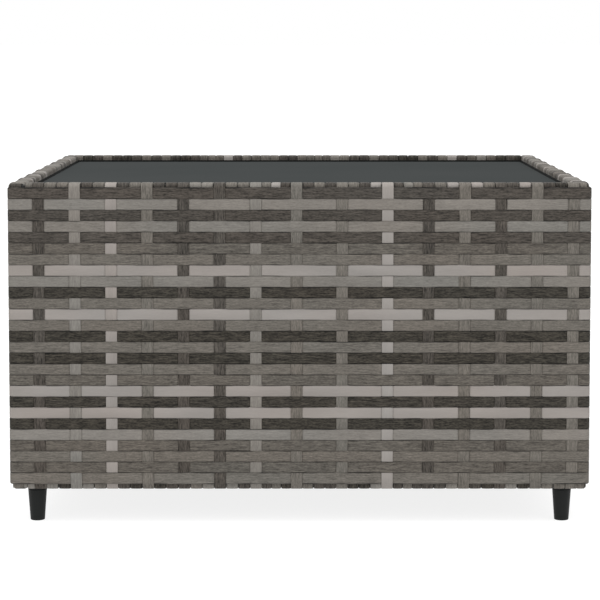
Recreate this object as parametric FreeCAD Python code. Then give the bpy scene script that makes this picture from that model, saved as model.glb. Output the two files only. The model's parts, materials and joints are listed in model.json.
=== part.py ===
import FreeCAD
import Part

import math
import os

from FreeCAD import Vector

# A square garden coffee table: a welded steel tube frame covered in flat woven strands, with a
# glass plate that lies loose in the rim and four tapered feet that screw into the bottom corners.
# The front faces -Y, +Z is up, and the origin is on the floor under the middle of the table.
# All sizes are in millimetres.

# ---------------------------------------------------------------- driving dimensions
WIDTH = 500.0                    # over the weave, along X
DEPTH = 500.0                    # over the weave, along Y
HEIGHT = 295.0                   # floor to the crest of the rim
FOOT_HEIGHT = 30.0               # floor to the underside of the woven body

STRAND_THICKNESS = 1.3           # flat plastic strand
STRAND_WIDTH = 9.9
WEFT_PITCH = 9.45                # wanted height of one woven row
WEFT_GROOVE_WIDTH = 0.6          # gap that shows between two rows
WEFT_GROOVE_DEPTH = 0.8
WEAVE_TOP_MARGIN = 4.2           # crest of the rim down to the first row
WEAVE_BOTTOM_MARGIN = 5.4        # underside of the body up to the last row
WEAVE_CORNER_RADIUS = 2.4

STAKE_FIRST_MARGIN = 26.5        # left end of a side to its first upright strand
STAKE_LAST_MARGIN = 15.5         # last upright strand to the right end of the side
STAKE_GAPS = [31.0] * 6 + [35.0, 39.0, 39.0, 35.0] + [31.0] * 4   # shares of what is left

RAIL_WIDTH = 10.0                # steel tube of the top and bottom rings, laid on edge
TOP_RAIL_HEIGHT = 25.0
BOTTOM_RAIL_HEIGHT = 20.0
RAIL_WALL = 1.2
TUBE_CORNER_RADIUS = 1.5

POST_SIZE = 15.0                 # square corner posts
POST_WALL = 1.2
STILE_SIZE = 10.0                # square upright in the middle of each side
STILE_WALL = 1.0

BEARER_SIZE = 10.0               # square cross tubes under the glass
BEARER_WALL = 1.0
BEARER_SPACING = 240.0           # centre to centre

GLASS_THICKNESS = 5.0
GLASS_RECESS = 6.5               # crest of the rim down to the top of the glass
GLASS_EDGE_GAP = 0.5             # all round, so that the plate lifts out
GLASS_CORNER_RADIUS = 5.0
GLASS_ARRIS = 0.7                # ground edge

EDGE_STRIP_THICKNESS = 0.8       # black strip that lines the rim round the glass
EDGE_STRIP_RISE = 1.6            # above the top of the glass

PAD_DIAMETER = 18.0              # soft disc between bearer and glass
PAD_THICKNESS = 1.5
PAD_STEM_DIAMETER = 5.0
PAD_STEM_LENGTH = 5.0
PAD_RUNOUT = 55.0                # outer pads from the ends of a bearer
PADS_PER_BEARER = 3

FOOT_TOP_DIAMETER = 16.8
FOOT_BOTTOM_DIAMETER = 12.6
FOOT_EDGE_RADIUS = 0.8
FOOT_COLLAR_DIAMETER = 11.0      # seats on the gusset
FOOT_COLLAR_GAP = 1.0            # collar to the strands wrapped round the bottom rail
FOOT_TOP_GAP = 0.4               # top of the cone up to the underside of the body

STUD_DIAMETER = 6.0              # metric 6 thread, drawn as a plain shaft
STUD_LENGTH = 34.0
STUD_IN_FOOT = 17.0
STUD_TIP_CHAMFER = 0.8
THREAD_CLEARANCE = 0.05
NUT_ACROSS_FLATS = 10.0
NUT_HEIGHT = 5.0
GUSSET_LEG = 42.0                # triangular plate in each bottom corner
GUSSET_THICKNESS = 3.0
GUSSET_NOSE = 6.0                # cut off each sharp end
GUSSET_HOLE_CLEARANCE = 0.3

# ---------------------------------------------------------------- levels and offsets
CREST_Z = HEIGHT
BODY_BOTTOM_Z = FOOT_HEIGHT
TOP_RAIL_Z = CREST_Z - STRAND_THICKNESS - TOP_RAIL_HEIGHT        # underside of the top ring
BOTTOM_RAIL_Z = BODY_BOTTOM_Z + STRAND_THICKNESS                 # underside of the bottom ring
BOTTOM_RAIL_TOP_Z = BOTTOM_RAIL_Z + BOTTOM_RAIL_HEIGHT

WEAVE_THICKNESS = 2 * STRAND_THICKNESS     # a strand that crosses over another
WRAP_OFFSET = WEAVE_THICKNESS              # outer face of the body in to the wrapped strands
RAIL_OFFSET = WRAP_OFFSET + STRAND_THICKNESS
RAIL_INNER = RAIL_OFFSET + RAIL_WIDTH
RIM_INNER = RAIL_INNER + STRAND_THICKNESS  # outer face of the body in to the clear opening
FOOT_INSET = RIM_INNER + FOOT_COLLAR_GAP + FOOT_COLLAR_DIAMETER / 2

WEAVE_TOP_Z = CREST_Z - WEAVE_TOP_MARGIN
WEAVE_BOTTOM_Z = BODY_BOTTOM_Z + WEAVE_BOTTOM_MARGIN
WEFT_ROWS = round((WEAVE_TOP_Z - WEAVE_BOTTOM_Z) / WEFT_PITCH)

GLASS_TOP_Z = CREST_Z - GLASS_RECESS
GLASS_BOTTOM_Z = GLASS_TOP_Z - GLASS_THICKNESS
BEARER_TOP_Z = GLASS_BOTTOM_Z - PAD_THICKNESS

# A side is (name, quarter turns about Z, half length, outer face to centre). It is drawn as the
# front side and then turned into place.
SIDES = [
    ("front", 0, WIDTH / 2, DEPTH / 2),
    ("right", 1, DEPTH / 2, WIDTH / 2),
    ("back", 2, WIDTH / 2, DEPTH / 2),
    ("left", 3, DEPTH / 2, WIDTH / 2),
]
# A corner is (name, side of X, side of Y).
CORNERS = [
    ("front_left", -1, -1),
    ("front_right", 1, -1),
    ("back_left", -1, 1),
    ("back_right", 1, 1),
]

parts = {}


# ---------------------------------------------------------------- helpers
def turned(shape, quarters):
    """The shape turned into place from the front side."""
    placed = shape.copy()
    placed.rotate(Vector(0, 0, 0), Vector(0, 0, 1), 90.0 * quarters)
    return placed


def box(x, y, z):
    """A box from (low, high) pairs along X, Y and Z."""
    return Part.makeBox(x[1] - x[0], y[1] - y[0], z[1] - z[0], Vector(x[0], y[0], z[0]))


def rounded_bar(x, y, z, axis, radius):
    """A box with its four edges along one axis rounded."""
    bar = box(x, y, z)
    along = {"x": 0, "y": 1, "z": 2}[axis]
    edges = [e for e in bar.Edges if abs(e.tangentAt(e.FirstParameter)[along]) > 0.9]
    return bar.makeFillet(radius, edges)


def tube(x, y, z, axis, wall):
    """A rectangular steel tube with rounded corners and open ends."""
    outer = rounded_bar(x, y, z, axis, TUBE_CORNER_RADIUS)
    inner = []
    for name, (low, high) in zip("xyz", (x, y, z)):
        inner.append((low, high) if name == axis else (low + wall, high - wall))
    return outer.cut(box(*inner))


def mitred(shape, half_length, offset, width, z):
    """The shape cut at 45 degrees where a front member meets its neighbours at the corners."""
    points = [
        Vector(-half_length, -offset, z[0]),
        Vector(half_length, -offset, z[0]),
        Vector(half_length - width, -offset + width, z[0]),
        Vector(-half_length + width, -offset + width, z[0]),
        Vector(-half_length, -offset, z[0]),
    ]
    outline = Part.Face(Part.makePolygon(points))
    return shape.common(outline.extrude(Vector(0, 0, z[1] - z[0])))


def notched(shape, pieces):
    """The shape cut round the pieces that pass through it, with nothing left inside a tube."""
    for piece in pieces:
        if shape.BoundBox.intersect(piece.BoundBox):
            shape = max(shape.cut(piece).Solids, key=lambda solid: solid.Volume)
    return shape


def solid_of(shape):
    """The one solid in a boolean result, with leftover seams between flush faces removed."""
    return shape.removeSplitter().Solids[0]


def stake_places(half_length):
    """Centres of the upright strands along a side, from its left end as seen from outside."""
    run = 2 * half_length - STAKE_FIRST_MARGIN - STAKE_LAST_MARGIN
    step = run / sum(STAKE_GAPS)
    places = [-half_length + STAKE_FIRST_MARGIN]
    for gap in STAKE_GAPS:
        places.append(places[-1] + gap * step)
    return places


# ---------------------------------------------------------------- frame
def ring_member(half_length, offset, z, wall):
    """One mitred tube of the top or bottom ring, drawn as the front one."""
    long_half = half_length - RAIL_OFFSET
    face = offset - RAIL_OFFSET
    bar = tube((-long_half, long_half), (-face, -face + RAIL_WIDTH), z, "x", wall)
    return mitred(bar, long_half, face, RAIL_WIDTH, z)


def stile(offset):
    """The upright in the middle of a side, between the two rings."""
    face = offset - RAIL_OFFSET
    return tube(
        (-STILE_SIZE / 2, STILE_SIZE / 2),
        (-face, -face + STILE_SIZE),
        (BOTTOM_RAIL_TOP_Z, TOP_RAIL_Z),
        "z",
        STILE_WALL,
    )


def corner_post(sx, sy):
    """A post between the two rings, with its outer faces flush with the rails."""
    x = sorted((sx * (WIDTH / 2 - RAIL_OFFSET), sx * (WIDTH / 2 - RAIL_OFFSET - POST_SIZE)))
    y = sorted((sy * (DEPTH / 2 - RAIL_OFFSET), sy * (DEPTH / 2 - RAIL_OFFSET - POST_SIZE)))
    return tube(x, y, (BOTTOM_RAIL_TOP_Z, TOP_RAIL_Z), "z", POST_WALL)


def pad_places():
    """Y of the pads along a bearer."""
    last = DEPTH / 2 - RAIL_INNER - PAD_RUNOUT
    step = 2 * last / (PADS_PER_BEARER - 1)
    return [-last + n * step for n in range(PADS_PER_BEARER)]


def bearer(side):
    """A cross tube from the front rail to the back rail, with a hole for each pad's stem."""
    x = side * BEARER_SPACING / 2
    reach = DEPTH / 2 - RAIL_INNER
    bar = tube(
        (x - BEARER_SIZE / 2, x + BEARER_SIZE / 2),
        (-reach, reach),
        (BEARER_TOP_Z - BEARER_SIZE, BEARER_TOP_Z),
        "y",
        BEARER_WALL,
    )
    for y in pad_places():
        drill = Part.makeCylinder(
            PAD_STEM_DIAMETER / 2, 2 * BEARER_WALL, Vector(x, y, BEARER_TOP_Z - 1.5 * BEARER_WALL)
        )
        bar = bar.cut(drill)
    return bar


def gusset(sx, sy):
    """A triangular plate welded inside a bottom corner, drilled for the foot's stud."""
    x0 = WIDTH / 2 - RAIL_INNER
    y0 = DEPTH / 2 - RAIL_INNER
    nose = GUSSET_LEG - GUSSET_NOSE
    outline = [
        (x0, y0),
        (x0 - GUSSET_LEG, y0),
        (x0 - GUSSET_LEG, y0 - GUSSET_NOSE),
        (x0 - GUSSET_NOSE, y0 - GUSSET_LEG),
        (x0, y0 - GUSSET_LEG),
    ]
    points = [Vector(sx * x, sy * y, BOTTOM_RAIL_Z) for x, y in outline + outline[:1]]
    plate = Part.Face(Part.makePolygon(points)).extrude(Vector(0, 0, GUSSET_THICKNESS))
    hole = Part.makeCylinder(
        STUD_DIAMETER / 2 + GUSSET_HOLE_CLEARANCE,
        3 * GUSSET_THICKNESS,
        foot_place(sx, sy, BOTTOM_RAIL_Z - GUSSET_THICKNESS),
    )
    return plate.cut(hole)


def weld_nut(sx, sy):
    """The hexagon nut welded on top of a gusset."""
    base = BOTTOM_RAIL_Z + GUSSET_THICKNESS
    radius = NUT_ACROSS_FLATS / 2 / math.cos(math.pi / 6)
    centre = foot_place(sx, sy, base)
    corners = [
        centre + Vector(radius * math.cos(n * math.pi / 3), radius * math.sin(n * math.pi / 3), 0)
        for n in range(7)
    ]
    body = Part.Face(Part.makePolygon(corners)).extrude(Vector(0, 0, NUT_HEIGHT))
    bore = Part.makeCylinder(STUD_DIAMETER / 2 + THREAD_CLEARANCE, NUT_HEIGHT, centre)
    return body.cut(bore)


# ---------------------------------------------------------------- feet
def foot_place(sx, sy, z):
    """A point on the axis of a foot."""
    return Vector(sx * (WIDTH / 2 - FOOT_INSET), sy * (DEPTH / 2 - FOOT_INSET), z)


def foot(sx, sy):
    """A tapered round foot with a collar on top and a blind hole for its stud."""
    top = BODY_BOTTOM_Z - FOOT_TOP_GAP
    cone = Part.makeCone(FOOT_BOTTOM_DIAMETER / 2, FOOT_TOP_DIAMETER / 2, top)
    rims = [e for e in cone.Edges if e.Closed]
    cone = cone.makeFillet(FOOT_EDGE_RADIUS, rims)
    collar = Part.makeCylinder(FOOT_COLLAR_DIAMETER / 2, BOTTOM_RAIL_Z - top, Vector(0, 0, top))
    hole = Part.makeCylinder(
        STUD_DIAMETER / 2 + THREAD_CLEARANCE, BOTTOM_RAIL_Z, Vector(0, 0, top - STUD_IN_FOOT)
    )
    body = solid_of(cone.fuse(collar).cut(hole))
    body.translate(foot_place(sx, sy, 0))
    return body


def stud(sx, sy):
    """The threaded stud that stands out of a foot, up through the gusset and the nut."""
    base = BODY_BOTTOM_Z - FOOT_TOP_GAP - STUD_IN_FOOT
    shaft = Part.makeCylinder(STUD_DIAMETER / 2, STUD_LENGTH, Vector(0, 0, base))
    tip = [e for e in shaft.Edges if e.Closed and e.CenterOfMass.z > base + 1]
    shaft = shaft.makeChamfer(STUD_TIP_CHAMFER, tip)
    shaft.translate(foot_place(sx, sy, 0))
    return shaft


# ---------------------------------------------------------------- glass
def glass_plate():
    """The loose plate, with rounded corners and a ground edge top and bottom."""
    inset = RIM_INNER + EDGE_STRIP_THICKNESS + GLASS_EDGE_GAP
    half_x = WIDTH / 2 - inset
    half_y = DEPTH / 2 - inset
    plate = rounded_bar(
        (-half_x, half_x), (-half_y, half_y), (GLASS_BOTTOM_Z, GLASS_TOP_Z), "z", GLASS_CORNER_RADIUS
    )
    middle = (GLASS_BOTTOM_Z + GLASS_TOP_Z) / 2
    flat = [e for e in plate.Edges if abs(e.CenterOfMass.z - middle) > GLASS_THICKNESS / 4]
    return plate.makeChamfer(GLASS_ARRIS, flat)


def edge_strip():
    """The strip stuck round the inside of the rim, which the plate drops into."""
    t = EDGE_STRIP_THICKNESS
    half_x = WIDTH / 2 - RIM_INNER
    half_y = DEPTH / 2 - RIM_INNER
    z = (GLASS_BOTTOM_Z, GLASS_TOP_Z + EDGE_STRIP_RISE)
    radius = GLASS_CORNER_RADIUS + GLASS_EDGE_GAP
    outer = rounded_bar((-half_x, half_x), (-half_y, half_y), z, "z", radius + t)
    inner = rounded_bar((-half_x + t, half_x - t), (-half_y + t, half_y - t), z, "z", radius)
    return outer.cut(inner)


def glass_pad(x, y):
    """A soft disc with a stem that plugs into the bearer."""
    disc = Part.makeCylinder(PAD_DIAMETER / 2, PAD_THICKNESS, Vector(x, y, BEARER_TOP_Z))
    stem = Part.makeCylinder(
        PAD_STEM_DIAMETER / 2, PAD_STEM_LENGTH, Vector(x, y, BEARER_TOP_Z - PAD_STEM_LENGTH)
    )
    return solid_of(disc.fuse(stem))


# ---------------------------------------------------------------- woven cover
def wrap_sleeve(half_length, offset, rail_z, rail_height):
    """The strands wound side by side round a rail, as one sleeve."""
    t = STRAND_THICKNESS
    long_half = half_length - WRAP_OFFSET
    face = offset - WRAP_OFFSET
    width = RAIL_WIDTH + 2 * t
    z = (rail_z - t, rail_z + rail_height + t)
    outer = rounded_bar(
        (-long_half, long_half), (-face, -face + width), z, "x", TUBE_CORNER_RADIUS + t
    )
    inner = rounded_bar(
        (-long_half, long_half),
        (-face + t, -face + t + RAIL_WIDTH),
        (rail_z, rail_z + rail_height),
        "x",
        TUBE_CORNER_RADIUS,
    )
    return mitred(outer.cut(inner), long_half, face, width, z)


def woven_panel(half_length, offset, closes_corner):
    """The woven face of a side: rows with a groove between them. Front and back close the corners."""
    end = half_length if closes_corner else half_length - WEAVE_THICKNESS
    y = (-offset, -offset + WEAVE_THICKNESS)
    panel = box((-end, end), y, (WEAVE_BOTTOM_Z, WEAVE_TOP_Z))
    if closes_corner:
        edges = [
            e
            for e in panel.Edges
            if abs(e.tangentAt(e.FirstParameter).z) > 0.9 and e.CenterOfMass.y < y[0] + 0.1
        ]
        panel = panel.makeFillet(WEAVE_CORNER_RADIUS, edges)
    pitch = (WEAVE_TOP_Z - WEAVE_BOTTOM_Z) / WEFT_ROWS
    grooves = []
    for row in range(1, WEFT_ROWS):
        z = WEAVE_BOTTOM_Z + row * pitch
        grooves.append(
            box(
                (-half_length - 1, half_length + 1),
                (y[0] - 1, y[0] + WEFT_GROOVE_DEPTH),
                (z - WEFT_GROOVE_WIDTH / 2, z + WEFT_GROOVE_WIDTH / 2),
            )
        )
    return panel.cut(Part.makeCompound(grooves))


def stakes(half_length, offset):
    """The upright strands of a side, between the wrapped rails and just behind the rows."""
    face = offset - WRAP_OFFSET
    low = BOTTOM_RAIL_TOP_Z + STRAND_THICKNESS
    high = TOP_RAIL_Z - STRAND_THICKNESS
    return [
        box(
            (x - STRAND_WIDTH / 2, x + STRAND_WIDTH / 2),
            (-face, -face + STRAND_THICKNESS),
            (low, high),
        )
        for x in stake_places(half_length)
    ]


# ---------------------------------------------------------------- assembly
for name, quarters, half_length, offset in SIDES:
    top = ring_member(half_length, offset, (TOP_RAIL_Z, TOP_RAIL_Z + TOP_RAIL_HEIGHT), RAIL_WALL)
    bottom = ring_member(half_length, offset, (BOTTOM_RAIL_Z, BOTTOM_RAIL_TOP_Z), RAIL_WALL)
    parts[f"top_rail_{name}"] = turned(top, quarters)
    parts[f"bottom_rail_{name}"] = turned(bottom, quarters)
    parts[f"stile_{name}"] = turned(stile(offset), quarters)

for name, sx, sy in CORNERS:
    parts[f"corner_post_{name}"] = corner_post(sx, sy)
    parts[f"gusset_{name}"] = gusset(sx, sy)
    parts[f"foot_{name}"] = foot(sx, sy)
    parts[f"foot_stud_{name}"] = stud(sx, sy)

parts["glass_bearer_left"] = bearer(-1)
parts["glass_bearer_right"] = bearer(1)
parts["foot_nuts"] = Part.makeCompound([weld_nut(sx, sy) for _, sx, sy in CORNERS])
parts["glass_pads"] = Part.makeCompound(
    [glass_pad(side * BEARER_SPACING / 2, y) for side in (-1, 1) for y in pad_places()]
)
parts["glass_edge_strip"] = edge_strip()
parts["glass_top"] = glass_plate()

# The wound strands stop where a post, stile, bearer or gusset is welded to the rail.
WELDED_ON = ("corner_post", "stile", "glass_bearer", "gusset")
welded_pieces = [s for n, s in parts.items() if n.startswith(WELDED_ON)]

for name, quarters, half_length, offset in SIDES:
    rim = wrap_sleeve(half_length, offset, TOP_RAIL_Z, TOP_RAIL_HEIGHT)
    base = wrap_sleeve(half_length, offset, BOTTOM_RAIL_Z, BOTTOM_RAIL_HEIGHT)
    parts[f"rim_wrap_{name}"] = notched(turned(rim, quarters), welded_pieces)
    parts[f"base_wrap_{name}"] = notched(turned(base, quarters), welded_pieces)
    panel = woven_panel(half_length, offset, quarters % 2 == 0)
    parts[f"woven_panel_{name}"] = turned(panel, quarters)
    uprights = [turned(s, quarters) for s in stakes(half_length, offset)]
    parts[f"stakes_{name}"] = Part.makeCompound(uprights)

os.makedirs("parts", exist_ok=True)
for name, shape in parts.items():
    assert shape.isValid(), name
    shape.exportStep(f"parts/{name}.step")
    print(f"{name}: {len(shape.Solids)} solid, {shape.Volume / 1000:.1f} cm3")
print(f"{len(parts)} nodes, {WEFT_ROWS} woven rows")
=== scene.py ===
# %% [markdown]
# # A woven garden coffee table
# The table is a steel frame covered in flat plastic strand, with a dark glass plate lying in its rim.
# The frame, glass and feet come ready made from the CAD model, at their real sizes, in metres.
# What CAD only stands in for is the weaving: there each side is a plain grooved plate.
# This lesson weaves it strand by strand, then gives every piece its finish.

# %% Load the frame
import json
import math
import random

import bpy
from mathutils import Matrix, Vector


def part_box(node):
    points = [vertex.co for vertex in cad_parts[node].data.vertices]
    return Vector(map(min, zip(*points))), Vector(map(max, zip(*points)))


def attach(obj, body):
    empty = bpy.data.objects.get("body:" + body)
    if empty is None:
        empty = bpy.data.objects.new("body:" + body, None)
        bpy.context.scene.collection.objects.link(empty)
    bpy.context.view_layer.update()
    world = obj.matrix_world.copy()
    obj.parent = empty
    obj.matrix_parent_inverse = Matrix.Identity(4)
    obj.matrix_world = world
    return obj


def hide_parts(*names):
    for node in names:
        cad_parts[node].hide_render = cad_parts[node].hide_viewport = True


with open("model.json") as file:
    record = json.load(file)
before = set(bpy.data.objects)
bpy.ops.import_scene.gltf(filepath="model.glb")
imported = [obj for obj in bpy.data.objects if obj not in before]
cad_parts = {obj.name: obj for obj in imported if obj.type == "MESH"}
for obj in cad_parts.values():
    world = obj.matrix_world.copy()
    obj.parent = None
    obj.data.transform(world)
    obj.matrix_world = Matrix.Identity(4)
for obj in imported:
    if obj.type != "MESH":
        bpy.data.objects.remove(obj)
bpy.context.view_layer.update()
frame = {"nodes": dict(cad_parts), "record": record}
SIDES = ["front", "right", "back", "left"]      # each a quarter turn on from the one before
CORNERS = ["front_left", "front_right", "back_left", "back_right"]

# %% [markdown]
# ## The camera
# It comes first, so that every later render can be compared from the same place. A long lens from
# about two metres keeps the far edge of the top only a little shorter than the near one. A small
# downward tilt does most of the framing, and a small lens shift keeps the uprights nearly parallel.

# %% Camera
CAMERA_PLACE = (0.0004, -2.2503, 0.4156)
CAMERA_TILT = math.radians(4.428)
LENS_MM, SENSOR_MM = 140.86, 36.0
LENS_SHIFT = -0.1281                            # as a share of the picture's width
camera_data = bpy.data.cameras.new("camera")
camera_data.lens = LENS_MM
camera_data.sensor_width = SENSOR_MM
camera_data.shift_y = LENS_SHIFT
camera = bpy.data.objects.new("camera", camera_data)
camera.location = CAMERA_PLACE
camera.rotation_euler = (math.pi / 2 - CAMERA_TILT, 0.0, 0.0)
bpy.context.collection.objects.link(camera)
bpy.context.scene.camera = camera
print("camera looks down by", round(math.degrees(CAMERA_TILT), 1), "degrees")

# %% [markdown]
# ## Node trees as sums
# Long chains of Math nodes are hard to read. A small class wraps a socket and overloads the
# operators, so that `1 - mask * 0.4` adds the same nodes. Any other node comes from one method
# that takes its type, its settings and its sockets. It serves shaders and Geometry Nodes alike.


# %% A number socket
class Number:
    """A number socket. Arithmetic on it adds Math nodes to its tree."""

    def __init__(self, maker, socket):
        self.maker = maker
        self.socket = socket

    def __add__(self, other):
        return self.maker.maths("ADD", self, other)

    def __sub__(self, other):
        return self.maker.maths("SUBTRACT", self, other)

    def __rsub__(self, other):
        return self.maker.maths("SUBTRACT", other, self)

    def __mul__(self, other):
        return self.maker.maths("MULTIPLY", self, other)

    def __pow__(self, other):
        return self.maker.maths("POWER", self, other)

    __radd__ = __add__
    __rmul__ = __mul__


print("+, -, * and ** on a Number now add Math nodes")


# %% A maker of nodes
class Maker:
    """Adds nodes to one tree."""

    def __init__(self, tree):
        self.tree = tree

    def add(self, kind, settings=None, sockets=None):
        """A node of that type: its settings first, then its sockets, by name or by number."""
        node = self.tree.nodes.new(kind)
        for name, value in (settings or {}).items():
            if name == "stops":
                self.set_stops(node.color_ramp, value)
            else:
                setattr(node, name, value)
        self.connect(node, sockets or {})
        return node

    def connect(self, node, sockets):
        """Links or sets a node's sockets, by name or by number."""
        for key, value in sockets.items():
            if isinstance(value, Number):
                value = value.socket
            if isinstance(value, bpy.types.NodeSocket):
                self.tree.links.new(value, node.inputs[key])
            else:
                node.inputs[key].default_value = value

    def set_stops(self, ramp, stops):
        """Gives a colour ramp its (place, colour) stops."""
        while len(ramp.elements) < len(stops):
            ramp.elements.new(1.0)
        for element, (place, colour) in zip(ramp.elements, stops):
            element.position = place
            element.color = (*colour, 1.0)

    def number(self, kind, settings=None, sockets=None, output=0):
        """Adds a node in the same way, but gives back one output, ready for sums."""
        return Number(self, self.add(kind, settings, sockets).outputs[output])

    def maths(self, operation, *values):
        """One Math node."""
        return self.number("ShaderNodeMath", {"operation": operation}, dict(enumerate(values)))

    def clamped(self, value):
        """The value held between 0 and 1."""
        return self.maths("MINIMUM", self.maths("MAXIMUM", value, 0.0), 1.0)

    def vector(self, x, y, z):
        """Three numbers as one vector."""
        return self.add("ShaderNodeCombineXYZ", None, {0: x, 1: y, 2: z}).outputs[0]

    def attribute(self, name):
        """A number stored on the mesh, for a shader."""
        return self.number("ShaderNodeAttribute", {"attribute_name": name}, None, "Fac")

    def noise(self, vector, scale, detail=2.0):
        """Noise from 0 to 1, for a shader."""
        sockets = {"Vector": vector, "Scale": scale, "Detail": detail}
        return self.number("ShaderNodeTexNoise", None, sockets)

    def mix_colour(self, factor, first, second):
        """Two colours mixed by a number from 0 to 1."""
        sockets = {0: factor, 6: first, 7: second}
        return self.add("ShaderNodeMix", {"data_type": "RGBA"}, sockets).outputs[2]

    def scaled_colour(self, colour, factor):
        """A colour made lighter or darker by a factor."""
        sockets = {0: colour, "Scale": factor}
        return self.add("ShaderNodeVectorMath", {"operation": "SCALE"}, sockets).outputs[0]


print("the maker is ready")


# %% Colours and new materials
def shade(red, green, blue):
    """A colour as mixed on a screen, 0 to 255, turned into the linear numbers that shaders use."""
    return tuple(((c / 255 + 0.055) / 1.055) ** 2.4 for c in (red, green, blue))


def new_finish(name):
    """An empty material, with its maker and its main shader."""
    material = bpy.data.materials.new(name)
    material.use_nodes = True
    maker = Maker(material.node_tree)
    return material, maker, material.node_tree.nodes["Principled BSDF"]


print("middle grey, 128 on a screen, is", round(shade(128, 128, 128)[0], 3), "to a shader")

# %% [markdown]
# ## The strand's finish
# The strand is extruded polyethylene. It is cut from mixed greys, from charcoal to a pale stone
# grey. The dark ones are streaked along their length like weathered wood, and the pale ones are
# nearly plain, with fine ribs left by the die.
# The pattern has to follow each strand round its bends, so it can't use places in space. Instead
# every strand carries numbers of its own: how far along it a point lies, how far across, a tone,
# a seed and how dark its edges are with grime from the grooves. Stretching a noise along the strand
# turns it into grain. Another noise breaks up the grime, because strands don't press together evenly.

# %% Strand finish
TONES = {                                       # letter, place on the ramp, colour
    "C": (0.0, shade(51, 48, 43)),              # charcoal
    "D": (0.2, shade(66, 62, 58)),              # dark
    "m": (0.4, shade(87, 83, 78)),              # lower middle
    "M": (0.6, shade(98, 94, 89)),              # middle
    "L": (0.8, shade(115, 112, 108)),           # light
    "P": (1.0, shade(140, 135, 132)),           # pale
}

# How often each pattern repeats in a metre, along the strand and across it.
STREAKS, FIBRES, PATCHES = (120, 1000), (420, 1800), (16, 90)
DRIFT = 7                                       # slow changes of tint, along the strand only
RIBS = 9000                                     # the ribs' wave, in radians to a metre across
RELIEF = 0.00014                                # how deep the bump may look, in metres
WARM_TINT, COOL_TINT = (1.03, 0.995, 0.955, 1.0), (0.985, 1.0, 0.985, 1.0)
GRIME_START = 0.0040                            # it starts this far from the strand's middle,
GRIME_SLOPE = 3300                              # grows by this much to a metre,
GRIME_GAPS = 38                                 # and fades this often in a metre
DARKEST = 0.3                                   # a streak is never darker than this share


def strand_finish():
    """Streaked plastic strand, in the tones above."""
    material, maker, shader = new_finish("woven_strand")
    along = maker.attribute("along")
    across = maker.attribute("across")
    tone = maker.attribute("tone")
    seed = maker.attribute("seed")
    colour = maker.add("ShaderNodeValToRGB", {"stops": list(TONES.values())}, {0: tone}).outputs[0]
    place = maker.vector(along * STREAKS[0], across * STREAKS[1] + seed * 13, seed)
    streaks = maker.noise(place, 1.0, 4.0)
    place = maker.vector(along * FIBRES[0], across * FIBRES[1], seed + 7)
    fibres = maker.noise(place, 1.0, 2.0)
    place = maker.vector(along * PATCHES[0], across * PATCHES[1], seed * 3 + 2)
    patches = maker.noise(place, 1.0, 1.0)
    drift = maker.noise(maker.vector(along * DRIFT, seed * 5, 3.0), 1.0, 1.0)
    # Dark strands are streaked the most, and the palest are nearly plain.
    contrast = 4.2 - 3.6 * tone ** 0.6 - 1.3 * maker.clamped(tone - 0.65)
    grain = (streaks - 0.5) * 0.9 + (fibres - 0.5) * 0.8
    light = maker.maths("MAXIMUM", 1.0 + contrast * grain + (patches - 0.5) * 0.35, DARKEST)
    edge = maker.clamped((maker.maths("ABSOLUTE", across) - GRIME_START) * GRIME_SLOPE)
    which_edge = maker.maths("SIGN", across)
    gaps = maker.noise(maker.vector(along * GRIME_GAPS, which_edge * 4, seed + 11), 1.0, 1.0)
    gaps = 0.25 + 0.75 * maker.clamped((gaps - 0.43) * 6)
    light = light * (1.0 - maker.attribute("grime") * edge * gaps)
    lean = maker.clamped((drift - 0.5) * 2.5 + 0.5)
    sockets = {0: colour, 1: maker.mix_colour(lean, WARM_TINT, COOL_TINT)}
    leaning = maker.add("ShaderNodeVectorMath", {"operation": "MULTIPLY"}, sockets).outputs[0]
    height = maker.maths("SINE", across * RIBS) * 0.22 + streaks * 0.5 + fibres * 0.3
    bump = maker.add("ShaderNodeBump", None, {"Strength": 0.45, "Distance": RELIEF, "Height": height})
    maker.connect(shader, {
        "Base Color": maker.scaled_colour(leaning, light),
        "Roughness": 0.6 - 0.25 * (streaks - 0.5),
        "Normal": bump.outputs[0],
        "Specular IOR Level": 0.15,
    })
    return material


strand_material = strand_finish()
print("strand finish in", len(TONES), "tones")

# %% [markdown]
# ## How a strand gets its body
# A strand could be a bevelled curve, or a strip of faces with a Solidify modifier. Here a Geometry
# Nodes tree does it for all of them: each route is a chain of edges, the tree turns it into a
# curve, and sweeps a flat, softly rounded section along it. A superellipse gives that section from
# only a dozen points: the higher its power, the squarer its shoulders.
# The curve's normal is fixed to one direction, so the strand never twists. The tree also stores the
# place along and across, which the finish above reads.

# %% Section of a strand
SECTION_POINTS = 12


def add_inputs(tree, inputs):
    """Declares a Geometry Nodes tree's inputs and its one output."""
    for name, kind in inputs:
        tree.interface.new_socket(name=name, in_out="INPUT", socket_type=kind)
    tree.interface.new_socket(name="Geometry", in_out="OUTPUT", socket_type="NodeSocketGeometry")


def store(maker, geometry, name, value):
    """Keeps a number on the points of a shape."""
    settings = {"data_type": "FLOAT", "domain": "POINT"}
    sockets = {"Geometry": geometry, "Name": name, "Value": value}
    return maker.add("GeometryNodeStoreNamedAttribute", settings, sockets).outputs[0]


def rounded(maker, value, half, power):
    """One coordinate of a unit circle pushed out to a superellipse."""
    size = maker.maths("ABSOLUTE", value) ** maker.maths("DIVIDE", 2.0, power)
    return maker.maths("SIGN", value) * size * half


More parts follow.
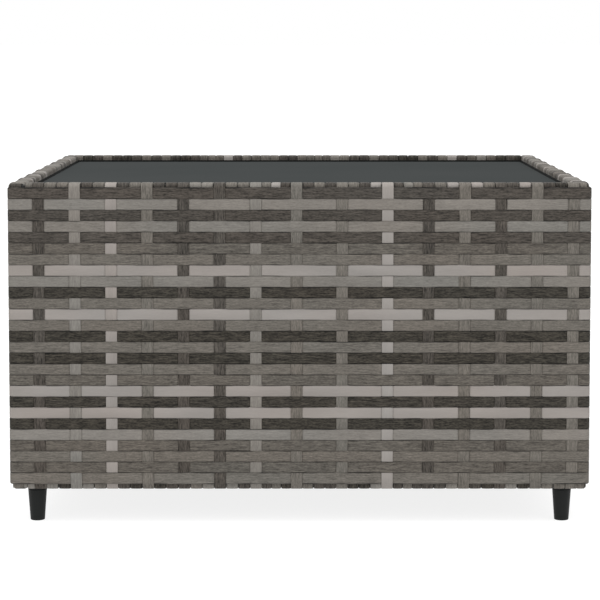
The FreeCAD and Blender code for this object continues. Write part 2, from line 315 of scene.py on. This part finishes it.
def section(maker, width, thickness, power, taper):
    """The strand's cross section, which also knows its own place across the strand."""
    settings = {"mode": "RADIUS"}
    sockets = {"Resolution": SECTION_POINTS, "Radius": 1.0}
    circle = maker.add("GeometryNodeCurvePrimitiveCircle", settings, sockets).outputs["Curve"]
    place = maker.add("GeometryNodeInputPosition").outputs[0]
    split = maker.add("ShaderNodeSeparateXYZ", None, {0: place})
    x = rounded(maker, Number(maker, split.outputs[0]), width * 0.5, power)
    y = rounded(maker, Number(maker, split.outputs[1]), thickness * 0.5, power)
    # The taper makes the outer face narrower than the inner one, which opens the grooves.
    narrowed = x * (1.0 - taper * maker.maths("DIVIDE", y, thickness))
    sockets = {"Geometry": circle, "Position": maker.vector(narrowed, y, 0.0)}
    shaped = maker.add("GeometryNodeSetPosition", None, sockets).outputs[0]
    place = maker.add("GeometryNodeInputPosition").outputs[0]
    split = maker.add("ShaderNodeSeparateXYZ", None, {0: place})
    return store(maker, shaped, "across", Number(maker, split.outputs[0]))


print("a strand's section has", SECTION_POINTS, "points")


# %% Tree that turns routes into strands
def strand_tree():
    """The tree for all strands: its inputs are the section's sizes, its direction and the finish."""
    tree = bpy.data.node_groups.new("strand_from_route", "GeometryNodeTree")
    add_inputs(tree, [
        ("Geometry", "NodeSocketGeometry"),
        ("Width", "NodeSocketFloat"),
        ("Thickness", "NodeSocketFloat"),
        ("Squareness", "NodeSocketFloat"),
        ("Taper", "NodeSocketFloat"),
        ("Across", "NodeSocketVector"),
        ("Material", "NodeSocketMaterial"),
    ])
    maker = Maker(tree)
    given = maker.add("NodeGroupInput").outputs
    names = ("Width", "Thickness", "Squareness", "Taper")
    size = [Number(maker, given[name]) for name in names]
    curve = maker.add("GeometryNodeMeshToCurve", None, {"Mesh": given["Geometry"]}).outputs[0]
    sockets = {"Curve": curve, "Normal": given["Across"]}
    curve = maker.add("GeometryNodeSetCurveNormal", {"mode": "FREE"}, sockets).outputs[0]
    length = maker.number("GeometryNodeSplineParameter", None, None, "Length")
    curve = store(maker, curve, "along", length)
    sockets = {"Curve": curve, "Profile Curve": section(maker, *size), "Fill Caps": True}
    swept = maker.add("GeometryNodeCurveToMesh", None, sockets).outputs[0]
    # A route may ask for a narrower or wider strand than the usual one: its points move in or out.
    share = maker.number("GeometryNodeInputNamedAttribute", {"data_type": "FLOAT"}, {"Name": "share"})
    across = maker.number("GeometryNodeInputNamedAttribute", {"data_type": "FLOAT"}, {"Name": "across"})
    settings = {"operation": "SCALE"}
    sockets = {0: given["Across"], "Scale": across * (share - 1.0)}
    shift = maker.add("ShaderNodeVectorMath", settings, sockets).outputs[0]
    sockets = {"Geometry": swept, "Offset": shift}
    swept = maker.add("GeometryNodeSetPosition", None, sockets).outputs[0]
    swept = maker.add("GeometryNodeRealizeInstances", None, {0: swept}).outputs[0]
    swept = maker.add("GeometryNodeSetShadeSmooth", None, {0: swept}).outputs[0]
    sockets = {"Geometry": swept, "Material": given["Material"]}
    done = maker.add("GeometryNodeSetMaterial", None, sockets).outputs[0]
    maker.add("NodeGroupOutput", None, {"Geometry": done})
    return tree


def apply_tree(piece, tree, inputs):
    """Runs a tree on a piece and leaves the result in it as a plain mesh."""
    modifier = piece.modifiers.new("made", "NODES")
    modifier.node_group = tree
    for item in tree.interface.items_tree:
        if item.in_out == "INPUT" and item.name in inputs:
            modifier[item.identifier] = inputs[item.name]
    evaluated = piece.evaluated_get(bpy.context.evaluated_depsgraph_get())
    mesh = bpy.data.meshes.new_from_object(evaluated)
    piece.modifiers.remove(modifier)
    piece.data = mesh


STRAND_TREE = strand_tree()
print("strand tree has", len(STRAND_TREE.nodes), "nodes")

# %% [markdown]
# ## Where everything is
# Every size is read from the frame: the woven panel gives the face and the rows, the uprights in
# the CAD model give their own places, and the rails give the steel that the strands wind round.
# Distances out from the middle of the table are called `out`, so that one drawing serves all sides.

# %% Sizes read from the frame
ROW_PITCH_WANTED = 0.00945
SLACK = 0.00005                                 # left between strands that lie on each other
panel_low, panel_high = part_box("woven_panel_front")
FACE_OUT = -panel_low.y
LAYER = (panel_high.y - panel_low.y) / 2        # room for one thickness of strand
MIDDLE_OUT = FACE_OUT - LAYER                   # the weave's middle plane
THICKNESS = LAYER - SLACK
ROW_COUNT = round((panel_high.z - panel_low.z) / ROW_PITCH_WANTED)
ROW_PITCH = (panel_high.z - panel_low.z) / ROW_COUNT
ROW_OVERLAP = 0.0006                            # of the soft edges, so no light comes through
ROW_WIDTH = ROW_PITCH + ROW_OVERLAP


def upright_places(node):
    """The middles of a CAD node's uprights, from where its vertices lie along X, and their width."""
    edges = sorted({round(v.co.x, 5) for v in frame["nodes"][node].data.vertices})
    return [(low + high) / 2 for low, high in zip(edges[::2], edges[1::2])], edges[1] - edges[0]


def rail_section(node):
    """(inner out, outer out, low z, high z) of a rail on the front side."""
    low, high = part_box(node)
    return -high.y, -low.y, low.z, high.z


UPRIGHTS, STRAND_WIDTH = upright_places("stakes_front")
TOP_RAIL = rail_section("top_rail_front")
BASE_RAIL = rail_section("bottom_rail_front")
RAIL_RADIUS = 0.0015                            # of the steel tube's edges
print(f"{ROW_COUNT} rows at {ROW_PITCH * 1000:.2f} mm, {len(UPRIGHTS)} uprights on a side,")
print(f"strand {STRAND_WIDTH * 1000:.1f} by {THICKNESS * 1000:.2f} mm")

# %% [markdown]
# ## Routes
# A weaver's draft says which strand is on top at each crossing, and what colour each one is. In
# plain weave the two take turns, so a sum of the row's and the upright's numbers settles it.
# A strand changes from one level to the other along an S-shaped ease, and rounds a rail or a
# corner on arcs. A route is then a list of knots, each `(along the side, out, height)`.

# %% Bends and crossings
ROW_DRAFT = "DLDLDmMPLCMPMCMCMmPCPCLmMmM"       # top row to bottom row
UPRIGHT_DRAFT = "DLPMDDLMMPDMDMM"               # left to right
DIVE = 0.0032                                   # a row changes level over this length
DIVE_END = 0.0014                               # and is down this far inside an upright's edge
CROSSING_HALF = 0.0015                          # an upright does so this far each side of a row's edge
CORNER_STEPS, RAIL_STEPS = 5, 3                 # in an arc: at a corner or the crest, round a rail


def ease(share):
    """From 0 to 1, level at both ends."""
    return share * share * (3 - 2 * share)


def arc(centre, radii, start, end, steps):
    """Points on part of an ellipse, from one angle to the other, in degrees."""
    angles = [math.radians(start + (end - start) * n / steps) for n in range(steps + 1)]
    return [(centre[0] + radii[0] * math.cos(a), centre[1] + radii[1] * math.sin(a)) for a in angles]


def upright_on_top(upright, row, flip):
    """Plain weave: row and upright take turns. Neighbouring sides are one step apart."""
    return (upright + row + flip) % 2 == 1


def row_height(row):
    """The middle of a row, counted from the top."""
    return panel_high.z - (row + 0.5) * ROW_PITCH


print("draft of", len(ROW_DRAFT), "rows and", len(UPRIGHT_DRAFT), "uprights")

# %% Route of a row
CORNER_RADIUS = 0.0034
DIVE_KNOTS = (0.0, 0.2, 0.4, 0.6, 0.8, 1.0)
WANDER = 0.00022                                # a row wanders up and down by this much
WANDER_WAVES = (75, 31, 190)                    # in radians to a metre


def row_route(row, flip, height, phase):
    """One row along a side, from the middle of its left corner to the middle of its right one."""
    straight = MIDDLE_OUT - CORNER_RADIUS
    half = STRAND_WIDTH / 2 - DIVE_END
    low_out, high_out = MIDDLE_OUT - LAYER / 2, MIDDLE_OUT + LAYER / 2
    bend = (high_out - straight, high_out - straight)
    path = arc((-straight, straight), bend, 135, 90, CORNER_STEPS)
    for upright, along in enumerate(UPRIGHTS):
        if upright_on_top(upright, row, flip):
            for share in DIVE_KNOTS:
                path.append((along - half - DIVE * (1 - share), high_out - LAYER * ease(share)))
            for share in DIVE_KNOTS:
                path.append((along + half + DIVE * share, low_out + LAYER * ease(share)))
        else:
            path += [(along - half, high_out), (along + half, high_out)]
    path += arc((straight, straight), bend, 90, 45, CORNER_STEPS)
    return [(along, out, height + wander(along, phase)) for along, out in path]


def wander(along, phase):
    """A slow rise and fall along a row, none at the corners, where two sides' rows meet."""
    fade = 1 - (along / MIDDLE_OUT) ** 2
    first, second, quick = WANDER_WAVES
    slow = math.sin(along * first + phase) * math.sin(along * second + phase * 2)
    return WANDER * fade * (0.6 * slow + 0.4 * math.sin(along * quick + phase * 3))


print("a row has", len(row_route(0, 0, 0.0, 0.0)), "knots")

# %% Route of an upright
CREST_RADIUS = 0.0032
TAIL = 0.0140                                   # the end that lies on the inside of the base rail
RISE_KNOTS, CROSSING_KNOTS = (0.35, 0.7), (0.3, 0.7)


def upright_route(upright, flip):
    """One upright: round the base rail, up through the rows, over the rim and down inside it."""
    inner, outer, low, _ = BASE_RAIL
    inner, outer, low = inner - LAYER / 2, outer + LAYER / 2, low - LAYER / 2
    bend = RAIL_RADIUS + LAYER / 2
    path = [(inner, low + TAIL)]
    path += arc((inner + bend, low + bend), (bend, bend), 180, 270, RAIL_STEPS)
    path += arc((outer - bend, low + bend), (bend, bend), 270, 360, RAIL_STEPS)
    levels = [0.5 if upright_on_top(upright, row, flip) else -0.5 for row in range(ROW_COUNT)]
    first_out = MIDDLE_OUT + LAYER * levels[-1]
    start = row_height(ROW_COUNT - 1) - ROW_PITCH / 2 + CROSSING_HALF
    for share in RISE_KNOTS:
        rise = low + bend + (start - low - bend) * share
        path.append((outer + (first_out - outer) * ease(share), rise))
    for row in range(ROW_COUNT - 1, -1, -1):
        out, middle = MIDDLE_OUT + LAYER * levels[row], row_height(row)
        flat = ROW_PITCH / 2 - CROSSING_HALF
        path += [(out, middle - flat), (out, middle), (out, middle + flat)]
        if row:
            next_out = MIDDLE_OUT + LAYER * levels[row - 1]
            for share in CROSSING_KNOTS:
                rise = middle + flat + 2 * CROSSING_HALF * share
                path.append((out + (next_out - out) * ease(share), rise))
    inner, _, low, high = TOP_RAIL
    inner, high = inner - LAYER / 2, high + LAYER / 2
    crest = (out - CREST_RADIUS, high - CREST_RADIUS)
    path += arc(crest, (CREST_RADIUS, CREST_RADIUS), 0, 90, CORNER_STEPS)
    path += arc((inner + bend, high - bend), (bend, bend), 90, 180, RAIL_STEPS)
    path.append((inner, low))
    return [(UPRIGHTS[upright], out, height) for out, height in path]


print("an upright has", len(upright_route(0, 0)), "knots")

# %% [markdown]
# Between the uprights the rails are wound with more strand, side by side, so no steel shows. One
# long spiral would be true to the craft, but each turn seen by itself is nearly a plain ring with
# a little slant. So each turn is a closed ring, and its slant is drawn from a seeded generator.
# At a corner the winding of one side runs on to the end of its rail and the next side's starts
# against it, so the four sides are the same piece turned round, like a pinwheel. A short strip laid
# upright on the rail covers that joint. On the rim it leaves a small dark hole beside the first
# turn, and on the base a narrow second strip fills it.

# %% Route of a winding
WINDING_GAP = 0.00015
WIDEST = 1.05                                   # a turn may be this many times the usual width
SLANT = 0.0006                                  # the most that a turn leans to either side
STRIP_WIDTH = 0.0094                            # of the upright strip at a rail's left end
RIM_DRAFT = "M" "MM" "DM" "DM" "DD" "LL" "MM" "MPD" "DMD" "MDP" "DLM" "MP" "PM" "DP" "DC" "M"
BASE_DRAFT = "L" "LC" "LM" "DC" "CD" "ML" "LD" "DMC" "MDD" "CCL" "DMD" "DL" "DC" "LC" "MM" "M"


def winding_places(rail):
    """(middle, width) of the turns that fill each space beside and between the uprights."""
    edges = [-(rail[0] - LAYER)]
    for along in UPRIGHTS:
        edges += [along - STRAND_WIDTH / 2, along + STRAND_WIDTH / 2]
    edges.append(rail[1])
    places = []
    for start, end in zip(edges[::2], edges[1::2]):
        turns = max(1, round((end - start) / STRAND_WIDTH))
        pitch = (end - start) / turns
        width = min(pitch, STRAND_WIDTH * WIDEST) - WINDING_GAP
        places += [(start + (n + 0.5) * pitch, width) for n in range(turns)]
    return places


def winding_route(rail, along, slant):
    """A closed turn round a rail."""
    inner, outer = rail[0] - LAYER / 2, rail[1] + LAYER / 2
    low, high = rail[2] - LAYER / 2, rail[3] + LAYER / 2
    bend = RAIL_RADIUS + LAYER / 2
    centres = [(outer - bend, low + bend), (outer - bend, high - bend)]
    centres += [(inner + bend, high - bend), (inner + bend, low + bend)]
    path = []
    for centre, start in zip(centres, (270, 0, 90, 180)):
        path += arc(centre, (bend, bend), start, start + 90, RAIL_STEPS)
    middle = (inner + outer) / 2
    return [(along + slant * (out - middle) / (outer - inner), out, z) for out, z in path]


def strip_route(rail, along):
    """A short upright strip over the joint at the rail's left end, its tips turned inwards."""
    outer, bend = rail[1] + LAYER / 2, RAIL_RADIUS
    low, high = rail[2], rail[3]
    path = arc((outer - bend, low + bend), (bend, bend), 300, 360, RAIL_STEPS)
    path += arc((outer - bend, high - bend), (bend, bend), 0, 60, RAIL_STEPS)
    return [(along, out, z) for out, z in path]


print(len(winding_places(TOP_RAIL)), "turns on a top rail, draft of", len(RIM_DRAFT))

# %% [markdown]
# ## Weaving the sides
# All strands of one kind on one side become one piece: first a mesh of bare edges that carries the
# tone, seed, width and grime of each strand, then the tree gives it a body. Python's `random` with
# a fixed seed makes the small differences that keep real weaving from looking printed.
# Every side draws its rim and base tones in the same way. On the front side a draft set by hand
# then takes their place.

# %% Strands into pieces
OUTWARD = Vector((1.0, -1.0, 1.0))              # from (along, out, height) to the front side's axes
LENGTHWISE, UPWARDS = (1.0, 0.0, 0.0), (0.0, 0.0, 1.0)
FLAT = (7.0, 0.0)                               # squareness and taper of an upright's section
GROOVED = (7.0, 0.2)                            # of a row's
ROUNDED = (3.4, 0.0)                            # of a winding's


def route_mesh(name, routes):
    """A mesh of edges from a list of {points, closed, tone, seed, share, grime}."""
    points, edges = [], []
    numbers = {"tone": [], "seed": [], "share": [], "grime": []}
    for route in routes:
        first, count = len(points), len(route["points"])
        points += [Vector(p) * OUTWARD for p in route["points"]]
        edges += [(first + n, first + n + 1) for n in range(count - 1)]
        if route["closed"]:
            edges.append((first + count - 1, first))
        for key, values in numbers.items():
            values += [route[key]] * count
    mesh = bpy.data.meshes.new(name)
    mesh.from_pydata(points, edges, [])
    for key, values in numbers.items():
        mesh.attributes.new(key, "FLOAT", "POINT").data.foreach_set("value", values)
    return mesh


def enclosed_volume(mesh):
    """Positive where the faces point outwards."""
    mesh.calc_loop_triangles()
    at = [v.co for v in mesh.vertices]
    corners = (t.vertices for t in mesh.loop_triangles)
    return sum(at[a].dot(at[b].cross(at[c])) for a, b, c in corners) / 6


def strand_piece(name, routes, across, shape, quarters, replaced):
    """One piece of strands, turned to its side and put in place of its CAD node."""
    piece = bpy.data.objects.new(name, route_mesh(name, routes))
    bpy.context.collection.objects.link(piece)
    apply_tree(piece, STRAND_TREE, {
        "Width": STRAND_WIDTH,
        "Thickness": THICKNESS,
        "Squareness": shape[0],
        "Taper": shape[1],
        "Across": across,
        "Material": strand_material,
    })
    if enclosed_volume(piece.data) < 0:
        piece.data.flip_normals()
    piece.data.transform(Matrix.Rotation(quarters * math.pi / 2, 4, "Z"))
    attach(piece, "frame")
    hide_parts(replaced)
    piece.data.calc_loop_triangles()
    print(f"{name}: {len(routes)} strands, {len(piece.data.loop_triangles)} triangles")


print("squareness of the sections:", FLAT[0], GROOVED[0], ROUNDED[0])

# %% Strands of one side
draw = random.Random(27)
TONE_SPREAD = 0.03                              # no two strands of one tone are quite the same
ROW_PLACE_SPREAD = 0.00002
ROW_GRIME, ROW_GRIME_FALL = 1.0, 0.35           # a pale row shows less of it than a dark one
WINDING_GRIME = 0.2
STRIP_TONES = {"rim": "D", "base": "M"}


def strand(points, tone, width, grime, closed=False):
    """A route with its tone, its width as a share of the usual one, its grime and its own seed."""
    place = TONES[tone][0] + draw.uniform(-TONE_SPREAD, TONE_SPREAD)
    return {
        "points": points,
        "closed": closed,
        "tone": min(max(place, 0.0), 1.0),
        "seed": draw.uniform(0, 50),
        "share": width / STRAND_WIDTH,
        "grime": grime,
    }


def weave_rows(side, quarters):
    """The level strands of one side."""
    rows = []
    for row, tone in enumerate(ROW_DRAFT):
        height = row_height(row) + draw.uniform(-ROW_PLACE_SPREAD, ROW_PLACE_SPREAD)
        route = row_route(row, quarters % 2, height, draw.uniform(0, 6))
        grime = ROW_GRIME - ROW_GRIME_FALL * TONES[tone][0]
        rows.append(strand(route, tone, ROW_WIDTH, grime))
    strand_piece(f"rows_{side}", rows, UPWARDS, GROOVED, quarters, f"woven_panel_{side}")


def weave_uprights(side, quarters):
    """The upright strands of one side."""
    uprights = []
    for upright, tone in enumerate(UPRIGHT_DRAFT):
        route = upright_route(upright, quarters % 2)
        uprights.append(strand(route, tone, STRAND_WIDTH, 0.0))
    strand_piece(f"uprights_{side}", uprights, LENGTHWISE, FLAT, quarters, f"stakes_{side}")


def wind_rail(side, quarters, word, rail, draft):
    """The turns round one rail, with the strips at its left end."""
    end, first_turn = -(rail[1] + LAYER), -(rail[0] - LAYER)
    route = strip_route(rail, end + STRIP_WIDTH / 2)
    turns = [strand(route, STRIP_TONES[word], STRIP_WIDTH, WINDING_GRIME)]
    if word == "base":
        middle, width = (end + STRIP_WIDTH + first_turn) / 2, first_turn - end - STRIP_WIDTH
        route = strip_route(rail, middle)
        turns.append(strand(route, draft[0], width - WINDING_GAP, WINDING_GRIME))
    for (along, width), tone in zip(winding_places(rail), draft):
        route = winding_route(rail, along, draw.uniform(-SLANT, SLANT))
        turns.append(strand(route, tone, width, WINDING_GRIME, closed=True))
    replaced = f"{word}_wrap_{side}"
    strand_piece(f"{word}_winding_{side}", turns, LENGTHWISE, ROUNDED, quarters, replaced)


print("strands are drawn with a tone", TONE_SPREAD, "lighter or darker")

# %% Weave
RIM_TONES = {"right": "mMMMLLP", "back": "CCDDmmMM", "left": "mMMLLLP"}     # to draw turns from
for quarters, side in enumerate(SIDES):
    turns = len(RIM_DRAFT)
    rim_draft = draw.choices(RIM_TONES.get(side, "M"), k=turns)
    base_draft = draw.sample(BASE_DRAFT, turns)
    if side == "front":
        rim_draft, base_draft = RIM_DRAFT, BASE_DRAFT
    weave_rows(side, quarters)
    weave_uprights(side, quarters)
    wind_rail(side, quarters, "rim", TOP_RAIL, rim_draft)
    wind_rail(side, quarters, "base", BASE_RAIL, base_draft)

# %% [markdown]
# ## The feet
# Each foot is moulded in black plastic: a tapered peg with a flat sole and a collar that seats
# under the frame. It is round about its own axis, so its outline is turned on a lathe in code.
# The outline starts and ends on the axis, which closes the shape. Points close together at a
# shoulder keep its edge crisp under smooth shading.


# %% Turned feet
FOOT_SEGMENTS = 96
SOLE_RADIUS, SOLE_ROUNDING = 0.0063, 0.0009
SHOULDER_ROUNDING = 0.0008
GROOVE_BELOW, GROOVE_DEPTH = 0.0026, 0.00035    # the groove starts this far below the shoulder
COLLAR_RADIUS, COLLAR_HEIGHT = 0.0055, 0.0017
STUD_HOLE_RADIUS, STUD_HOLE_DEPTH = 0.00305, 0.017
SHARP_ANGLE = math.radians(40)


def turned_mesh(name, outline, centre):
    """A solid of revolution about a vertical axis, from (radius, height) points, bottom first."""
    points, faces, rings = [], [], []
    for radius, height in outline:
        if radius == 0:
            rings.append([len(points)] * FOOT_SEGMENTS)
            points.append((centre.x, centre.y, height))
            continue
        rings.append(list(range(len(points), len(points) + FOOT_SEGMENTS)))
        for n in range(FOOT_SEGMENTS):
            turn = 2 * math.pi * n / FOOT_SEGMENTS
            points.append((centre.x + radius * math.cos(turn), centre.y + radius * math.sin(turn), height))
    for lower, upper in zip(rings, rings[1:]):
        for n in range(FOOT_SEGMENTS):
            m = (n + 1) % FOOT_SEGMENTS
            corners = [lower[n], lower[m], upper[m], upper[n]]
            faces.append([c for k, c in enumerate(corners) if c not in corners[:k]])
    mesh = bpy.data.meshes.new(name)
    mesh.from_pydata(points, [], faces)
    mesh.shade_smooth()
    mesh.set_sharp_from_angle(angle=SHARP_ANGLE)
    return mesh


def foot_outline(top_radius, top):
    """Half of the foot's outline, from the middle of its sole to the middle of its stud hole."""
    cone_top = top - COLLAR_HEIGHT
    slope = (top_radius - SOLE_RADIUS) / cone_top
    outline = [(0, 0), (SOLE_RADIUS - SOLE_ROUNDING - 0.0001, 0)]
    rounding = (SOLE_ROUNDING, SOLE_ROUNDING)
    outline += arc((SOLE_RADIUS - SOLE_ROUNDING, SOLE_ROUNDING), rounding, -80, 0, 5)
    groove = cone_top - GROOVE_BELOW
    radius = SOLE_RADIUS + slope * groove
    # The groove has a sloping way in and out.
    outline += [(radius, groove), (radius - GROOVE_DEPTH, groove + 0.00025)]
    outline += [(radius - GROOVE_DEPTH, groove + 0.0006), (radius + 0.00005, groove + 0.00085)]
    rounding = (SHOULDER_ROUNDING, SHOULDER_ROUNDING)
    outline += arc((top_radius - SHOULDER_ROUNDING, cone_top - SHOULDER_ROUNDING), rounding, 0, 90, 5)
    outline += [(COLLAR_RADIUS, cone_top), (COLLAR_RADIUS, top), (STUD_HOLE_RADIUS, top)]
    bottom = cone_top - STUD_HOLE_DEPTH
    return outline + [(STUD_HOLE_RADIUS, bottom), (0, bottom)]


def make_foot(corner, material):
    """The moulded foot of one corner."""
    low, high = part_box(f"foot_{corner}")
    centre = (low + high) / 2
    outline = foot_outline((high.x - low.x) / 2, high.z)
    name = f"moulded_foot_{corner}"
    piece = bpy.data.objects.new(name, turned_mesh(name, outline, centre))
    bpy.context.collection.objects.link(piece)
    piece.data.materials.append(material)
    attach(piece, f"{corner}_foot")
    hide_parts(f"foot_{corner}")


print("a foot's mesh has", FOOT_SEGMENTS, "points round its axis")

# %% [markdown]
# ## The other finishes
# The steel is powder coated, the studs and nuts are zinc plated, the feet are moulded with a fine
# spark-eroded grain and the pads are soft rubber. None is a flat colour: each gets a fine grain in
# its bump, and slow changes of colour and gloss that read as handling and dust.
# The glass is tinted right through and nearly opaque, so a plain glossy shader with a high alpha
# says more about it than refraction would: only a hint of the bearers shows from above. Seen along
# its surface a plate like this looks like a dull grey sheet under a wide soft light, so a Layer
# Weight node fades it over to a second shader without any gloss.

# %% Grained finishes
def grained_finish(name, colour, patch_colour, roughness, grain, depth, metallic=0.0, gloss=0.5):
    """A finish with fine grain in its bump and slow changes of colour and gloss."""
    material, maker, shader = new_finish(name)
    place = maker.add("ShaderNodeTexCoord").outputs["Object"]
    fine = maker.noise(place, grain, 3.0)
    slow = maker.noise(place, 22.0, 4.0)
    bump = maker.add("ShaderNodeBump", None, {"Strength": 0.4, "Distance": depth, "Height": fine})
    patches = (slow - 0.5) * 1.6 + 0.4
    mixed = maker.mix_colour(maker.maths("MINIMUM", patches, 1.0), (*colour, 1.0), (*patch_colour, 1.0))
    maker.connect(shader, {
        "Base Color": maker.scaled_colour(mixed, 0.9 + 0.2 * fine),
        "Roughness": roughness + 0.18 * (slow - 0.5),
        "Metallic": metallic,
        "Specular IOR Level": gloss,
        "Normal": bump.outputs[0],
    })
    return material


FINISHES = {
    "frame_paint": grained_finish(
        "powder_coat", shade(40, 40, 40), shade(48, 47, 45),
        roughness=0.55, grain=1400.0, depth=0.00006, gloss=0.35
    ),
    "zinc_steel": grained_finish(
        "zinc_plate", shade(176, 178, 180), shade(150, 148, 138),
        roughness=0.38, grain=2200.0, depth=0.00003, metallic=1.0
    ),
    "foot_plastic": grained_finish(
        "moulded_plastic", shade(19, 21, 20), shade(25, 27, 26),
        roughness=0.5, grain=2600.0, depth=0.00004, gloss=0.18
    ),
    "pad_rubber": grained_finish(
        "soft_rubber", shade(20, 22, 21), shade(30, 31, 30),
        roughness=0.8, grain=1800.0, depth=0.00005, gloss=0.15
    ),
}
print("grained finishes:", ", ".join(FINISHES))

# %% Glass finish
GLANCING = 0.64                                 # a Layer Weight of this much, and more, looks dull
GLANCING_SLOPE = 6.0


def glass_finish():
    """Dark tinted plate: glossy from above, and a dull dark sheet when seen along its surface."""
    material, maker, shader = new_finish("tinted_glass")
    place = maker.add("ShaderNodeTexCoord").outputs["Object"]
    smears = maker.noise(place, 9.0, 5.0)
    dust = maker.noise(place, 900.0, 1.0)
    clear = maker.mix_colour(smears, (*shade(36, 39, 41), 1.0), (*shade(43, 45, 46), 1.0))
    dull = maker.mix_colour(smears, (*shade(58, 61, 61), 1.0), (*shade(64, 66, 66), 1.0))
    maker.connect(shader, {
        "Base Color": clear,
        "Roughness": 0.035 + 0.05 * smears + 0.02 * dust,
        "IOR": 1.5,
        "Alpha": 0.93,
    })
    sockets = {"Base Color": dull, "Roughness": 0.8, "Specular IOR Level": 0.0}
    sheet = maker.add("ShaderNodeBsdfPrincipled", None, sockets)
    facing = maker.number("ShaderNodeLayerWeight", None, {"Blend": 0.5}, "Facing")
    glancing = maker.clamped((facing - GLANCING) * GLANCING_SLOPE)
    sockets = {0: glancing, 1: shader.outputs[0], 2: sheet.outputs[0]}
    mixed = maker.add("ShaderNodeMixShader", None, sockets)
    maker.connect(maker.tree.nodes["Material Output"], {0: mixed.outputs[0]})
    return material


FINISHES["tinted_glass"] = glass_finish()
print(len(FINISHES), "finishes besides the strand's")

# %% [markdown]
# The pieces that CAD drew well keep their shape and only take a finish, through the material slot
# that the record gives each of them.

# %% Finish the carried-over pieces
for corner in CORNERS:
    make_foot(corner, FINISHES["foot_plastic"])
carried = 0
for entry in frame["record"]["subparts"]:
    finish = FINISHES.get(entry["material_slot"])
    if finish is None:
        continue
    for slot in frame["nodes"][entry["node"]].material_slots:
        slot.material = finish
    carried += 1
print(carried, "CAD nodes took a finish")

# %% [markdown]
# ## Studio
# The floor is plain and pale, and glows a little, like the lit acrylic sheet that small products
# are set on, so that only a faint shadow is left under the table. The light is soft.
# The surround is plain white where it shows behind the table, and for lighting it is a dome that is
# brighter overhead. That gives the crest of the rim its pale line over darker fronts.

# %% Floor
FLOOR_HALF = 200.0                              # so wide that its edge is never seen
FLOOR_GLOW = 0.84
floor_mesh = bpy.data.meshes.new("floor")
ends = (-FLOOR_HALF, FLOOR_HALF)
floor_mesh.from_pydata([(x, y, 0.0) for y in ends for x in ends], [], [(0, 1, 3, 2)])
floor = bpy.data.objects.new("floor", floor_mesh)
bpy.context.collection.objects.link(floor)
floor_material, floor_maker, floor_shader = new_finish("floor")
floor_maker.connect(floor_shader, {
    "Base Color": (0.3, 0.3, 0.3, 1.0),
    "Roughness": 0.9,
    "Specular IOR Level": 0.0,
    "Emission Color": (1.0, 1.0, 1.0, 1.0),
    "Emission Strength": FLOOR_GLOW,
})
floor_mesh.materials.append(floor_material)
print("floor", 2 * FLOOR_HALF, "metres wide")

# %% Surround and lamps
TABLE_MIDDLE = (0.0, 0.0, 0.15)
SIDE_GLOW, TOP_GLOW = 0.55, 0.9


def studio_surround():
    """White behind the table; for lighting, a dome that is brighter overhead than near the floor."""
    world = bpy.data.worlds.new("studio")
    world.use_nodes = True
    maker = Maker(world.node_tree)
    background = world.node_tree.nodes["Background"]
    up = maker.add("ShaderNodeTexCoord").outputs["Generated"]
    height = maker.number("ShaderNodeSeparateXYZ", None, {0: up}, 2)
    dome = SIDE_GLOW + TOP_GLOW * maker.maths("MAXIMUM", height, 0.0)
    seen = maker.number("ShaderNodeLightPath", None, None, "Is Camera Ray")
    maker.connect(background, {
        "Color": (1.0, 1.0, 1.0, 1.0),
        "Strength": seen + (1.0 - seen) * dome,
    })
    bpy.context.scene.world = world


def area_lamp(name, place, size, power):
    """A wide soft lamp that looks at the table."""
    data = bpy.data.lights.new(name, "AREA")
    data.shape = "DISK"
    data.size = size
    data.energy = power
    lamp = bpy.data.objects.new(name, data)
    lamp.location = place
    aim = Vector(TABLE_MIDDLE) - Vector(place)
    lamp.rotation_euler = aim.to_track_quat("-Z", "Y").to_euler()
    bpy.context.collection.objects.link(lamp)


studio_surround()
area_lamp("key_lamp", (-0.5, -0.9, 2.6), size=1.8, power=30.0)
area_lamp("fill_lamp", (1.8, -1.8, 1.2), size=1.6, power=5.0)
bpy.context.scene.view_settings.view_transform = "Standard"
print(len(bpy.data.lights), "soft lamps")
